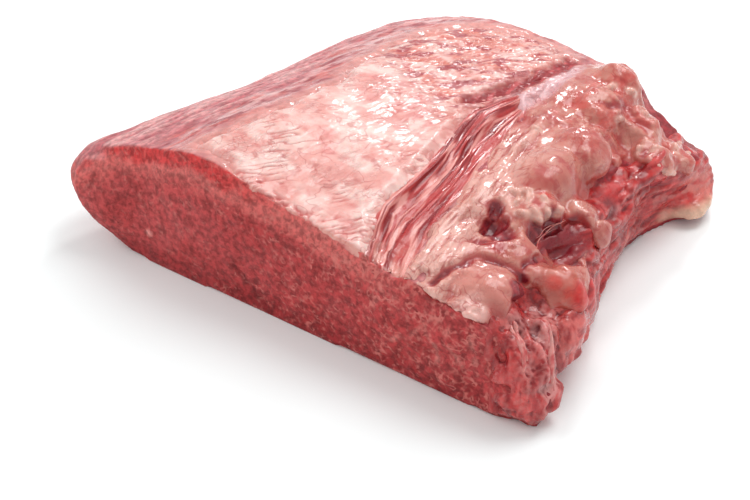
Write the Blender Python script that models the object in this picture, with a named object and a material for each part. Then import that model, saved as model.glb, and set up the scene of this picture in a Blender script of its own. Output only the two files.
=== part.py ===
"""Raw beef brisket: one cut piece of muscle under its fat cap, lying with the fat side up.

Metres, +Z up.  The straight cut face looks along -Y, the thick round nose is at -X, the
ragged seam side with its fat lobes is at +X, and the underside rests flat on z = 0.  The
origin is the middle of the underside.  Sizes in the tables below are in millimetres.
"""

import bmesh
import bpy
import numpy as np
from mathutils import Vector, noise

MM = 0.001

# Overall size of the finished piece
LENGTH = 305.0
WIDTH = 256.0
HEIGHT = 84.0

# Stations round the brisket: contact x, y on the table, then rim x, y, z where the top
# begins, then how far the wall bulges out between the two
FRONT = [
    ((-122, -115), (-141, -108, 54), 21),
    ((-98, -122), (-93, -116, 72), 5),
    ((-63, -122), (-55, -118, 81), 4),
    ((-5, -121), (-5, -117, 71), 3),
    ((59, -120), (67, -118, 61), 3),
    ((110, -119), (112, -117, 50), 3),
]
RIGHT = [
    ((147, -115), (136, -107, 40), 5),
    ((141, -85), (132, -80, 44), 5),
    ((129, -45), (128, -50, 47), 6),
    ((113, 0), (114, -5, 48), 4),
    ((107, 45), (111, 45, 46), 2),
    ((117, 85), (119, 84, 41), 3),
]
BACK = [
    ((123, 110), (116, 107, 32), 4),
    ((90, 110), (92, 108, 42), 3),
    ((70, 110), (66, 112, 56), 4),
    ((30, 112), (30, 120, 61), 6),
    ((-20, 111), (-22, 122, 62), 6),
    ((-60, 106), (-58, 117, 60), 7),
]
LEFT = [
    ((-84, 94), (-82, 101, 56), 12),
    ((-98, 50), (-96, 48, 59), 14),
    ((-111, -13), (-107, -13, 59), 15),
    ((-120, -70), (-125, -67, 58), 15),
]
SIDES = (FRONT, RIGHT, BACK, LEFT)
CROWN = 3.0
BELLY_HIGH = 1.3  # above 1, the walls bulge most above the middle of their height
FLAT = 1e-6

# How the slab is divided: fewer cells along the smooth left part of its length
CELLS_X, CELLS_Y, CELLS_Z = 56, 44, 9
SMOOTH_CELLS, SMOOTH_LENGTH = 0.42, 0.60

# The strip of bare muscle between the fat cap and the seam fat: y, left x, right x
BARE_STRIP = [
    (-130, 52, 70), (-105, 39, 66), (-80, 36, 66), (-40, 36, 64),
    (0, 36, 59), (30, 34, 55), (66, 41, 47), (90, 44, 44),
]
STRIP_DEPTH = 3.6
STRIP_EDGE = 4.0
BUNDLE_WIDTH = 7.0
BUNDLE_RELIEF = 0.8

# The thick roll of seam fat: x, y along its crest
ROLL = [(102, -112), (94, -62), (86, -20), (75, 30), (66, 80)]
ROLL_RISE = 4.5
ROLL_HALF_WIDTH = 15.0

# Hollows between the fat lobes: x, y, z, radius, depth
HOLLOWS = [
    (81, -66, 65, 11, 9),
    (113, -46, 53, 13, 9),
    (121, -86, 47, 8, 8),
    (92, -114, 55, 7, 3),
    (127, -92, 26, 7, 5),
    (143, -95, 24, 9, 6),
    (118, -6, 30, 16, 5),
    (115, 52, 24, 15, 6),
    (83, 98, 52, 9, 6),
    (94, 54, 58, 10, 4),
    (78, 60, 64, 9, 4),
]

# Lobes of fat and loose muscle that stand out of the seam side: x, y, z, then radii x, y, z
LOBES = [
    (101, -98, 46, 22, 13, 14),
    (122, -66, 40, 15, 14, 15),
    (134, -104, 19, 14, 15, 19),
    (130, -82, 22, 12, 14, 18),
    (96, -40, 56, 16, 16, 11),
    (80, -12, 61, 16, 22, 13),
    (105, -16, 45, 14, 18, 13),
    (84, 20, 60, 18, 17, 11),
    (104, 62, 42, 14, 14, 12),
    (88, 76, 50, 13, 14, 12),
    (61, 95, 57, 15, 13, 13),
    (70, 62, 61, 14, 15, 11),
    (119, 90, 9, 12, 16, 9),
    (105, 96, 28, 11, 12, 12),
]

# Gentle unevenness everywhere, and crags on the seam side, with the width of each bump
WAVE, WAVE_WIDTH = 1.2, 34.0
CRAG, CRAG_WIDTH = 3.6, 13.0
CRAGS_FROM, CRAGS_TO = 55.0, 95.0

# The fold across the cut face: where it starts and ends, in x and z, and its depth
FOLD_TOP, FOLD_FOOT = (-26, 34), (0, 0)
FOLD_DEPTH = 1.6


def smooth_step(low, high, value):
    share = min(1.0, max(0.0, (value - low) / (high - low)))
    return share * share * (3 - 2 * share)


def closed_curve(points):
    """A smooth closed curve through the points, as a function of the distance gone round."""
    knots = np.array(points, float)
    steps = np.linalg.norm(np.roll(knots, -1, 0) - knots, axis=1)
    gone = np.concatenate([[0], np.cumsum(steps)])
    spans = (steps + np.roll(steps, 1))[:, None]
    slopes = (np.roll(knots, -1, 0) - np.roll(knots, 1, 0)) / spans

    def at(distance):
        distance = distance % gone[-1]
        i = int(np.searchsorted(gone, distance, side="right")) - 1
        j = (i + 1) % len(knots)
        s = (distance - gone[i]) / steps[i]
        ease = s * s * (3 - 2 * s)
        leave = s * (1 - s) ** 2 * steps[i]
        arrive = -s * s * (1 - s) * steps[i]
        return knots[i] * (1 - ease) + knots[j] * ease + slopes[i] * leave + slopes[j] * arrive

    return at, gone


class Ring:
    """One closed line round the slab, read by side and by how far along that side."""

    def __init__(self, pick):
        stations = [station for side in SIDES for station in side]
        self.at, gone = closed_curve([pick(station) for station in stations])
        counts = np.cumsum([0] + [len(side) for side in SIDES])
        self.corners = [gone[n] for n in counts]

    def point(self, side, share):
        start, end = self.corners[side], self.corners[side + 1]
        return self.at(start + (end - start) * share)


CONTACT = Ring(lambda station: (*station[0], 0.0))
RIM = Ring(lambda station: station[1])
BULGE = Ring(lambda station: (*station[0], station[2]))


def patch(ring, u, v):
    """The surface that fills a ring, blended from its four sides."""
    front, back = ring.point(0, u), ring.point(2, 1 - u)
    right, left = ring.point(1, v), ring.point(3, 1 - v)
    corners = (
        ring.point(0, 0) * (1 - u) * (1 - v)
        + ring.point(1, 0) * u * (1 - v)
        + ring.point(2, 0) * u * v
        + ring.point(3, 0) * (1 - u) * v
    )
    return front * (1 - v) + back * v + left * (1 - u) + right * u - corners


def wall_point(side, share, w):
    """A point on the wall: straight from contact to rim, pushed out by the bulge between."""
    low, high = CONTACT.point(side, share), RIM.point(side, share)
    nudge = 0.01
    along = RIM.point(side, share + nudge) - RIM.point(side, share - nudge)
    outward = np.array([along[1], -along[0], 0.0])
    outward /= np.linalg.norm(outward)
    bulge = BULGE.point(side, share)[2]
    swell = w**BELLY_HIGH
    return low * (1 - w) + high * w + outward * bulge * 4 * swell * (1 - swell)


def slab_point(u, v, w):
    """Where a point on the surface of the unit box goes on the brisket."""
    if u < SMOOTH_CELLS:
        u *= SMOOTH_LENGTH / SMOOTH_CELLS
    else:
        u = 1 - (1 - u) * (1 - SMOOTH_LENGTH) / (1 - SMOOTH_CELLS)
    if w <= 0:
        return patch(CONTACT, u, v)
    if w >= 1:
        crown = CROWN * 16 * u * (1 - u) * v * (1 - v)
        return patch(RIM, u, v) + np.array([0, 0, crown])
    if v <= 0:
        return wall_point(0, u, w)
    if u >= 1:
        return wall_point(1, v, w)
    if v >= 1:
        return wall_point(2, 1 - u, w)
    return wall_point(3, 1 - v, w)


def make_slab():
    """A box divided into cells, then bent to the brisket's form."""
    bm = bmesh.new()
    bmesh.ops.create_cube(bm, size=1.0)
    for axis, cells in enumerate((CELLS_X, CELLS_Y, CELLS_Z)):
        edges = [
            e for e in bm.edges
            if abs(e.verts[0].co[axis] - e.verts[1].co[axis]) > 0.5
        ]
        bmesh.ops.subdivide_edges(bm, edges=edges, cuts=cells - 1, use_grid_fill=True)
    for vert in bm.verts:
        u, v, w = (round(c + 0.5, 6) for c in vert.co)
        vert.co = Vector(slab_point(u, v, w))
    return bm


def strip_relief(x, y):
    """The bare muscle strip lies lower than the fat beside it, in long bundles."""
    ys, lefts, rights = (np.array(column) for column in zip(*BARE_STRIP))
    left, right = np.interp(y, ys, lefts), np.interp(y, ys, rights)
    inside = smooth_step(0, STRIP_EDGE, x - left) * smooth_step(0, STRIP_EDGE, right - x)
    bundles = BUNDLE_RELIEF * np.cos((x - left) * 2 * np.pi / BUNDLE_WIDTH)
    return inside * (bundles - STRIP_DEPTH)


def roll_relief(x, y):
    """The roll of seam fat rises along its crest."""
    crest_x = np.interp(y, [p[1] for p in ROLL], [p[0] for p in ROLL])
    return ROLL_RISE * np.exp(-(((x - crest_x) / ROLL_HALF_WIDTH) ** 2))


def hollow_relief(point):
    """The deepest of the hollows near a point."""
    deepest = 0.0
    for x, y, z, radius, depth in HOLLOWS:
        away = (point - Vector((x, y, z))).length / radius
        deepest = max(deepest, depth * np.exp(-away * away))
    return -deepest


def fold_relief(x, z):
    """The cut face steps in on the left of a slanting fold, most of all near the table."""
    share = (FOLD_TOP[1] - z) / (FOLD_TOP[1] - FOLD_FOOT[1])
    fold_x = FOLD_TOP[0] + (FOLD_FOOT[0] - FOLD_TOP[0]) * share
    near = smooth_step(fold_x - 30, fold_x - 2, x) * (1 - smooth_step(fold_x, fold_x + 4, x))
    return -FOLD_DEPTH * near * smooth_step(0, 0.4, share)


def lobe_push(point, normal):
    """How far a point inside a lobe is pushed out along its normal to the lobe's skin."""
    furthest = 0.0
    for x, y, z, *radii in LOBES:
        start = Vector((point[k] - (x, y, z)[k]) / radii[k] for k in range(3))
        step = Vector(normal[k] / radii[k] for k in range(3))
        a, b, c = step.dot(step), step.dot(start), start.dot(start) - 1
        if c < 0:
            furthest = max(furthest, (-b + np.sqrt(b * b - a * c)) / a)
    return furthest


def relief(point, normal):
    """How far the surface stands off the plain slab at a point, along its normal."""
    x, y, z = point
    crags = smooth_step(CRAGS_FROM, CRAGS_TO, x)
    facing_up = smooth_step(0.3, 0.8, normal.z)
    facing_front = smooth_step(0.5, 0.9, -normal.y)
    rise = WAVE * noise.noise(point / WAVE_WIDTH)
    rise += CRAG * crags * noise.noise(point / CRAG_WIDTH)
    rise += facing_up * (strip_relief(x, y) + roll_relief(x, y))
    rise += facing_front * fold_relief(x, z)
    return rise + hollow_relief(point) + lobe_push(point, normal)


def add_relief(bm):
    """Every point above the table moves along its normal; the contact face stays flat."""
    bm.normal_update()
    moves = {}
    for vert in bm.verts:
        x, y, z = vert.co
        if z > 0.01:
            clear_of_table = smooth_step(0, 8, z)
            moves[vert] = vert.normal * relief(vert.co, vert.normal) * clear_of_table
    for vert, move in moves.items():
        vert.co += move


def fit_to_size(bm):
    """Centres the brisket on the origin, gives it its named size, and turns mm into metres."""
    points = np.array([vert.co for vert in bm.verts])
    low, high = points.min(0), points.max(0)
    scale = np.array([LENGTH, WIDTH, HEIGHT]) / (high - low)
    middle = np.array([(low[0] + high[0]) / 2, (low[1] + high[1]) / 2, low[2]])
    for vert, point in zip(bm.verts, (points - middle) * scale * MM):
        vert.co = Vector(point)


def join_underside(bm):
    """The flat underside needs no cells of its own, so its cells become one face."""
    flat = {face for face in bm.faces if all(vert.co.z < FLAT for vert in face.verts)}
    inner = [edge for edge in bm.edges if all(face in flat for face in edge.link_faces)]
    bmesh.ops.dissolve_edges(bm, edges=inner, use_verts=True)
    bmesh.ops.triangulate(bm, faces=bm.faces)


def raw_meat():
    """Moist red muscle, half way between its lean and its fat."""
    material = bpy.data.materials.new("raw_beef")
    material.use_nodes = True
    shader = material.node_tree.nodes["Principled BSDF"]
    shader.inputs["Base Color"].default_value = (0.52, 0.13, 0.12, 1)
    shader.inputs["Roughness"].default_value = 0.38
    shader.inputs["Metallic"].default_value = 0.0
    return material


def main():
    for old in list(bpy.data.objects):
        bpy.data.objects.remove(old)
    collection = bpy.data.collections.new("raw_brisket")
    bpy.context.scene.collection.children.link(collection)

    bm = make_slab()
    add_relief(bm)
    fit_to_size(bm)
    join_underside(bm)

    mesh = bpy.data.meshes.new("brisket")
    bm.to_mesh(mesh)
    bm.free()
    mesh.materials.append(raw_meat())
    mesh.shade_smooth()
    collection.objects.link(bpy.data.objects.new("brisket", mesh))


main()
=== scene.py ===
"""Raw beef brisket, dressed from the muscle out: lean, fat cap, bare muscle strip, seam fat."""

import math
from itertools import product
from random import Random

import bmesh
import bpy
import numpy as np
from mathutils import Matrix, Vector
from mathutils.kdtree import KDTree


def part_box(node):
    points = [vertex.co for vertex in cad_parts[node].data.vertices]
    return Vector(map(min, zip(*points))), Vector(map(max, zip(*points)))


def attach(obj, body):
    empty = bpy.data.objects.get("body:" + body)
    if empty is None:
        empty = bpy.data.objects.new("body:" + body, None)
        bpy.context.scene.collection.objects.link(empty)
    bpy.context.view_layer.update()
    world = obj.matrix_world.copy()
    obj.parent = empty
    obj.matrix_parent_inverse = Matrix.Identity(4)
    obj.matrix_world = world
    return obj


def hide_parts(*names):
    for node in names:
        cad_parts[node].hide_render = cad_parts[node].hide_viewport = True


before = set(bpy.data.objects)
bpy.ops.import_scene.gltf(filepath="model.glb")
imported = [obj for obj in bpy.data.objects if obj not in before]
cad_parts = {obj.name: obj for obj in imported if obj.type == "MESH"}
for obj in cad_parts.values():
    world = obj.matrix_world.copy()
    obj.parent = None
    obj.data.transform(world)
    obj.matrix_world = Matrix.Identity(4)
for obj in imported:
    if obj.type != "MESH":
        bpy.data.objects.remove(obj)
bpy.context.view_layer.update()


# Camera, light and table
# A long lens looks down on the straight cut face and the seam side.  A big soft light hangs
# behind and above the meat, a small one low behind it makes the wet fat shine, and one at the
# left fills the cut face.  The table is plain white.

SIGHT, SIGHT_TURN, SIGHT_RISE, SIGHT_FAR = Vector((0.0223, -0.0701, 0.028)), 36, 36, 0.865
LENS_MM, SKY_STRENGTH = 80, 0.72
TABLE_SIZE, TABLE_WHITE, TABLE_ROUGHNESS = 4.0, (0.93, 0.98, 0.98, 1), 0.6


def placed(name, data):
    """An object that shows some data, linked into the scene."""
    thing = bpy.data.objects.new(name, data)
    bpy.context.collection.objects.link(thing)
    return thing


def mesh_from(name, bm):
    mesh = bpy.data.meshes.new(name)
    bm.to_mesh(mesh)
    bm.free()
    return mesh


def look_at(thing, place, target):
    thing.location = place
    thing.rotation_mode = "QUATERNION"
    thing.rotation_quaternion = (target - Vector(place)).to_track_quat("-Z", "Y")


def from_meat(turn, rise, far):
    """A place seen from the meat: turned from the front towards the right, and raised."""
    turn, rise = math.radians(turn), math.radians(rise)
    flat = far * math.cos(rise)
    return SIGHT + Vector((flat * math.sin(turn), -flat * math.cos(turn), far * math.sin(rise)))


camera = placed("camera", bpy.data.cameras.new("camera"))
camera.data.lens = LENS_MM
look_at(camera, from_meat(SIGHT_TURN, SIGHT_RISE, SIGHT_FAR), SIGHT)
bpy.context.scene.camera = camera


def softbox(name, turn, rise, far, size, power):
    """A round lamp aimed at the meat, `far` metres from it, `size` across, in watts."""
    light = bpy.data.lights.new(name, "AREA")
    light.shape, light.size, light.energy = "DISK", size, power
    look_at(placed(name, light), from_meat(turn, rise, far), SIGHT)


softbox("top_softbox", 165, 62, 1.5, 0.9, 10)
softbox("back_softbox", 199, 38, 1.5, 0.26, 4.5)
softbox("left_softbox", -60, 40, 1.8, 0.9, 6)

sky = bpy.data.worlds.new("studio")
sky.use_nodes = True
sky.node_tree.nodes["Background"].inputs["Color"].default_value = (1, 1, 1, 1)
sky.node_tree.nodes["Background"].inputs["Strength"].default_value = SKY_STRENGTH
bpy.context.scene.world = sky
bpy.context.scene.view_settings.view_transform = "Standard"


def add_node(tree, kind, inputs=(), **settings):
    """Adds a node: `inputs` by order or by name, each a value or another node's output."""
    made = tree.nodes.new(kind)
    for name, value in settings.items():
        setattr(made, name, value)
    for key, value in inputs.items() if isinstance(inputs, dict) else enumerate(inputs):
        if isinstance(value, bpy.types.NodeSocket):
            tree.links.new(value, made.inputs[key])
        elif value is not None:
            made.inputs[key].default_value = value
    return made


def shader_node(tree, kind, inputs=(), **settings):
    return add_node(tree, "ShaderNode" + kind, inputs, **settings)


def new_material(name):
    material = bpy.data.materials.new(name)
    material.use_nodes = True
    tree = material.node_tree
    return material, tree, tree.nodes["Principled BSDF"]


def make_table():
    bm = bmesh.new()
    bmesh.ops.create_grid(bm, x_segments=2, y_segments=2, size=TABLE_SIZE)
    table = placed("table", mesh_from("table", bm))
    material, _, shader = new_material("white_table")
    shader.inputs["Base Color"].default_value = TABLE_WHITE
    shader.inputs["Roughness"].default_value = TABLE_ROUGHNESS
    table.data.materials.append(material)


make_table()


# Lean muscle
# The slab of beef itself: a straight cut across the grain in front, a round side under thin
# silver skin at the left and back, and torn lean at the seam side.  All the rest lies on it.

MM = 0.001
SKIN_VOXEL_MM = 1.45


def smooth(low, high, value):
    share = np.clip((value - low) / (high - low), 0, 1)
    return share * share * (3 - 2 * share)


def bumps(places, width, seed=0):
    """Smooth random bumps from about -1 to 1, `width` across, at each place (mm)."""
    cells = places / np.asarray(width, float) + 19.37 * (seed + 1)
    low = np.floor(cells)
    share = cells - low
    ease = share**3 * (share * (share * 6 - 15) + 10)
    low = low.astype(np.int64)
    total = np.zeros(len(places))
    for corner in product((0, 1), repeat=3):
        spot = low + corner
        mix = (spot[:, 0] * 73856093) ^ (spot[:, 1] * 19349663) ^ (spot[:, 2] * 83492791)
        mix = ((mix ^ (mix >> 13)) * 1274126177) & 0xFFFFFFFF
        mix ^= mix >> 15
        slope = np.stack([mix & 1023, (mix >> 10) & 1023, (mix >> 20) & 1023], 1) / 511.5 - 1
        weight = np.where(corner, ease, 1 - ease).prod(1)
        total += weight * (slope * (share - corner)).sum(1)
    return total * 1.6


def rough(places, width, octaves=3, seed=0):
    """Bumps with smaller bumps on them."""
    sizes = np.asarray(width, float)
    return sum(bumps(places, sizes / 2**k, seed + k) / 2**k for k in range(octaves))


def creases(places, width, seed=0):
    """Long lines, 1 at their middle, that wander and join as folds do."""
    return 1 - np.clip(np.abs(rough(places, width, 2, seed)) * 4, 0, 1)


def distance(places, line):
    """How far each place is from a line through some points."""
    away = np.full(len(places), 1e9)
    for start, end in zip(line, line[1:]):
        side = np.subtract(end, start).astype(float)
        share = np.clip((places - start) @ side / (side @ side), 0, 1)
        away = np.minimum(away, np.linalg.norm(places - start - share[:, None] * side, axis=1))
    return away


def inside(places, outline):
    """How far inside a closed outline each place is, seen from above; negative outside."""
    x, y, closed = places[:, 0], places[:, 1], outline + outline[:1]
    within = np.zeros(len(places), bool)
    for (ax, ay), (bx, by) in zip(closed, closed[1:]):
        if ay != by:
            within ^= ((ay > y) != (by > y)) & (x < ax + (y - ay) * (bx - ax) / (by - ay))
    away = distance(places[:, :2], closed)
    return np.where(within, away, -away)


def places_of(thing):
    """The points of a thing's mesh (mm)."""
    flat = np.empty(len(thing.data.vertices) * 3)
    thing.data.vertices.foreach_get("co", flat)
    return flat.reshape(-1, 3) / MM


def skin_of(thing):
    """The points of a thing's mesh (mm) and the directions that they face."""
    flat = np.empty(len(thing.data.vertices) * 3)
    thing.data.vertex_normals.foreach_get("vector", flat)
    return places_of(thing), flat.reshape(-1, 3)


def move_to(thing, places):
    """Puts a mesh's points at new places, inside the solid's box and above the table."""
    held = np.clip(places, BOX_LOW, BOX_HIGH)
    thing.data.vertices.foreach_set("co", (held * MM).ravel())
    thing.data.update()


def keep(thing, name, values):
    """Keeps a value, or one value for all, at each point of a thing's mesh."""
    values = np.full(len(thing.data.vertices), values)
    thing.data.attributes.new(name, "FLOAT", "POINT").data.foreach_set("value", values)


def evaluated(thing, name):
    """A plain mesh object of a thing with its modifiers applied, in place of the thing."""
    bpy.context.view_layer.update()
    result = thing.evaluated_get(bpy.context.evaluated_depsgraph_get())
    mesh = bpy.data.meshes.new_from_object(result)
    mesh.name = name
    bpy.data.objects.remove(thing)
    return placed(name, mesh)


def fine_skin(node):
    """The solid's surface again, in small even faces."""
    bm = bmesh.new()
    bm.from_mesh(node.data)
    bmesh.ops.remove_doubles(bm, verts=bm.verts, dist=1e-6)
    skin = placed("skin", mesh_from("skin", bm))
    remesh = skin.modifiers.new("voxels", "REMESH")
    remesh.mode, remesh.voxel_size = "VOXEL", SKIN_VOXEL_MM * MM
    ease = skin.modifiers.new("ease", "SMOOTH")
    ease.factor, ease.iterations = 0.5, 3
    return evaluated(skin, "lean")


lean = fine_skin(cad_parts["brisket"])
low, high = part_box("brisket")
BOX_LOW, BOX_HIGH = np.array(low) / MM, np.array(high) / MM
skin_mesh = lean.data.copy()

# Plan outlines of what lies on the lean (mm)
CAP = [
    (-64, -106), (-50, -108), (-34, -112), (-20, -124), (52, -124), (46, -106), (38, -92),
    (37, -70), (36, -44), (32, -18), (29, 8), (24, 22), (10, 28), (-10, 22), (-28, 6),
    (-42, -14), (-46, -34), (-49, -62), (-58, -84),
]
FAR = [
    (-40, -20), (-24, -10), (10, 0), (23, 2), (29, 24), (35, 46), (46, 50), (46, 88),
    (30, 110), (-4, 118), (-34, 108), (-44, 84), (-52, 50), (-52, 16),
]
STRIP = [
    (52, -124), (45, -106), (36, -92), (35, -70), (34, -44), (30, -18), (26, 8), (28, 26),
    (36, 44), (44, 36), (50, 14), (55, -10), (59, -32), (64, -60), (64, -82), (68, -102), (76, -124),
]
# The strip's right edge, and the lowest edge of the seam fat down the side, by y
EDGE_Y = [-124, -102, -82, -60, -32, -10, 14, 36, 124]
EDGE_X = [76, 68, 64, 64, 59, 55, 50, 46, 44]
FAT_EDGE_Y = [-124, -104, -84, -60, -40, -20, 0, 24, 50, 66, 84, 100, 124]
FAT_EDGE_Z = [55, 52, 46, 34, 40, 48, 55, 57, 53, 38, 34, 44, 74]
# Hollows between the fat's folds, where the lean shows: x, y, z, radius, depth
HOLLOWS = [
    (81, -50, 66, 6, 3.5), (86, -57, 63, 8, 5), (94, -63, 64, 8, 5), (88, -74, 64, 6, 3),
    (106, -48, 60, 8, 5), (112, -38, 57, 11, 7), (115, -25, 56, 9, 6), (120, -89, 50, 8, 8),
    (123, -80, 46, 7, 8), (126, -98, 46, 7, 5), (83, 79, 66, 7, 2.2),
]
# Creases in the fat: their places, width and depth
CREASES = [
    ([(85, -110, 58), (89, -99, 61), (95, -85, 64), (106, -78, 59), (114, -77, 55)], 4.0, 2.6),
    ([(114, -77, 55), (118, -84, 51), (121, -92, 49)], 5.0, 3.5),
    ([(88, -112, 54), (96, -117, 51), (106, -118, 50), (116, -114, 50)], 3.5, 2.0),
    ([(112, -72, 57), (114, -58, 55), (118, -43, 49), (124, -40, 44)], 4.5, 3.0),
    ([(135, -76, 42), (133, -66, 38), (136, -50, 34)], 4.0, 2.0),
    ([(70, -80, 62), (74, -58, 64), (76, -36, 69)], 3.5, 1.2),
    ([(62, -30, 69), (60, 0, 71), (57, 26, 70)], 3.5, 1.3),
    ([(68, -20, 69), (68, 8, 70), (66, 30, 70)], 3.5, 1.2),
    ([(88, 28, 66), (92, 52, 64), (88, 76, 64)], 5.0, 2.6),
    ([(100, 40, 60), (108, 58, 54), (112, 78, 46)], 5.0, 2.4),
    ([(74, 60, 70), (84, 72, 66), (100, 76, 58)], 4.5, 2.2),
]
# A deep red streak, and the sheet of shining membrane beside it
STREAK = [
    (19, 20, 76), (23, 26, 75), (27, 39, 73), (30, 55, 72), (34, 70, 71), (36, 87, 69), (35, 104, 65),
]
GLOSSY = [(38, 34, 71), (41, 48, 71), (43, 62, 71), (43, 80, 70), (42, 92, 68)]
# The top rim of the cut face, by x, and a crease and pale veins of fat in that face
RIM_X, RIM_Z = [-138, -125, -60, 0, 60, 120], [50, 60, 78, 72, 60, 50]
CUT_CREASE = [(-36, -118, 27), (-22, -118, 13), (-11, -118, 3)]
CUT_VEINS = [
    [(88, -118, 46), (84, -119, 36), (76, -120, 27), (66, -120, 22)],
    [(84, -119, 36), (92, -119, 30), (95, -119, 20)], [(99, -118, 44), (101, -118, 33), (108, -118, 24)],
    [(76, -120, 27), (78, -120, 16)], [(62, -119, 50), (56, -120, 40)], [(112, -117, 42), (114, -117, 30)],
]
LEAN_TURN = -15  # degrees from the cut face's normal to the run of the lean's fibres


def tone(red, green, blue):
    """A colour as a screen shows it, turned into the light that it stands for."""
    shown = np.array([red, green, blue]) / 255
    return np.where(shown < 0.04045, shown / 12.92, ((shown + 0.055) / 1.055) ** 2.4)


def paint(red, green, blue):
    return (*tone(red, green, blue).tolist(), 1.0)


def mixed(under, over, share):
    share = np.asarray(share)[:, None]
    return under * (1 - share) + over * share


def layered(tint, *layers):
    """A tint with others laid over it in turn, each a screen colour or a tint, by its share."""
    for over, share in layers:
        tint = mixed(tint, tone(*over) if isinstance(over, tuple) else over, share)
    return tint


def dye(thing, tints):
    """Keeps a colour at each point of a thing's mesh."""
    flat = np.ones((len(tints), 4))
    flat[:, :3] = np.clip(tints, 0.0, 1.0)
    thing.data.attributes.new("tint", "FLOAT_COLOR", "POINT").data.foreach_set("color", flat.ravel())


def near(places, line, width):
    """1 on a line through some places (mm), falling to 0 at `width` from it."""
    return 1 - smooth(0.25 * width, width, distance(places, line))


def spot(places, centre, radius):
    return 1 - smooth(0.4 * radius, radius, np.linalg.norm(places - centre, axis=1))


def turned(places, degrees):
    """Plan axes turned about the vertical."""
    sine, cosine = math.sin(math.radians(degrees)), math.cos(math.radians(degrees))
    return places @ np.array([[cosine, -sine, 0], [sine, cosine, 0], [0, 0, 1]])


def swayed(places, amount, width, seed):
    """Places pushed about by bumps of one width, by some `amount` mm."""
    return places + amount * np.stack([bumps(places, width, seed + k) for k in range(3)], 1)


def cavity_shading(thing, rounds):
    """How far each point lies below its surroundings (mm): used to paint shade into hollows and light onto
    bumps.
    """
    (places, normals), edges = skin_of(thing), thing.data.edges
    ends = np.empty(len(edges) * 2, np.int32)
    edges.foreach_get("vertices", ends)
    one, other = ends[::2], ends[1::2]
    count, eased = len(places), places
    for _ in range(rounds):
        sums = [
            np.bincount(one, eased[other, k], count) + np.bincount(other, eased[one, k], count)
            for k in range(3)
        ]
        eased = np.stack(sums, 1) / np.bincount(ends, minlength=count)[:, None]
    return ((eased - places) * normals).sum(1)


def tucked(places):
    """Draws the foot of the torn corner in, under the lean that hangs over it, and rounds its tip."""
    x, y, z = places.T
    share = np.maximum(smooth(-100, -90, y), 0.55 * smooth(10, 1, z))
    share *= smooth(19, 9, z) * smooth(-38, -58, y)
    share *= smooth(44, 62, 0.81 * x + 0.59 * y)
    tip = smooth(10, 0, z) * smooth(24, 6, np.linalg.norm(places[:, :2] - (144, -120), axis=1))
    return places - share[:, None] * (7.3, 5.3, 0) - tip[:, None] * (1.2, -3.6, 0)


def cap_depth(places):
    """How far a place is inside the sheet of fat."""
    return np.maximum(inside(places, CAP), inside(places, FAR)) + 4.0 * rough(places, 15, 4, 3)


def far_share(places):
    """The back of the top, where fat and lean are mixed."""
    return smooth(-4, 16, places[:, 1] + 0.35 * places[:, 0] + 8 * rough(places, 20, 2, 107))


def strip_depth(places):
    return inside(places, STRIP) + 1.5 * rough(places, 9, 3, 5)


def seam_depth(places):
    """How far a place is inside the seam fat: right of the strip, and above its low edge."""
    edge_x = np.interp(places[:, 1], EDGE_Y, EDGE_X)
    low_edge = np.interp(places[:, 1], FAT_EDGE_Y, FAT_EDGE_Z)
    cut_edge = np.interp(places[:, 0], [60, 78, 86, 94, 106, 118], [60, 60, 56, 47, 47, 54])
    low_edge = np.where(places[:, 1] < -106, np.maximum(low_edge, cut_edge), low_edge)
    return np.minimum(places[:, 0] - edge_x, places[:, 2] - low_edge) + 3.0 * rough(places, 14, 3, 7)


def hollow_depth(places):
    """How deep the hollows and creases go (mm)."""
    wavy = swayed(places, 1.8, 9, 183)
    deep = np.zeros(len(places))
    for *centre, radius, depth in HOLLOWS:
        away = np.linalg.norm((wavy - centre) * (1, 1, 0.5), axis=1)
        deep = np.maximum(deep, depth * smooth(radius + 1, 0.35 * radius, away))
    for line, width, depth in CREASES:
        deep = np.maximum(deep, depth * near(wavy, line, width))
    return deep


def streak_share(places):
    """The deep red streak that goes on from the bare muscle to the back."""
    return near(places + 3 * bumps(places, 7, 189)[:, None] * (1, 0.4, 0), STREAK, 9)


def film_tint(places):
    """Lean under silver skin: mauve, streaked along the edge, redder in a belt by the fat."""
    depth, lie, upper = cap_depth(places), turned(places, LEAN_TURN), smooth(42, 60, places[:, 2])
    streaks = rough(lie, (6, 42, 6), 3, 101) + rough(lie, (7, 20, 9), 4, 109)
    belt = smooth(-32, -20, depth) * (1 - smooth(-7, -1, depth)) * upper
    fibres = rough(turned(places, 10), (2.5, 18, 3), 3, 197)
    streak = mixed(tone(136, 14, 24), tone(188, 72, 76), smooth(-0.1, 0.6, fibres))
    return layered(
        mixed(tone(180, 98, 103), tone(212, 152, 150), smooth(-0.9, 0.9, streaks)),
        ((150, 36, 48), 0.85 * belt * smooth(0.0, 0.35, rough(lie, (6, 13, 6), 5, 103))),
        ((204, 104, 98), 0.8 * belt * smooth(0.1, 0.4, rough(lie, (6, 14, 6), 5, 105))),
        ((168, 66, 68), 0.5 * (1 - upper)),
        ((212, 144, 136), 0.9 * smooth(-12, 1, depth) * upper),
        ((222, 180, 184), 0.85 * near(places, GLOSSY, 10)),
        (streak, streak_share(places)),
    )


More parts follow.
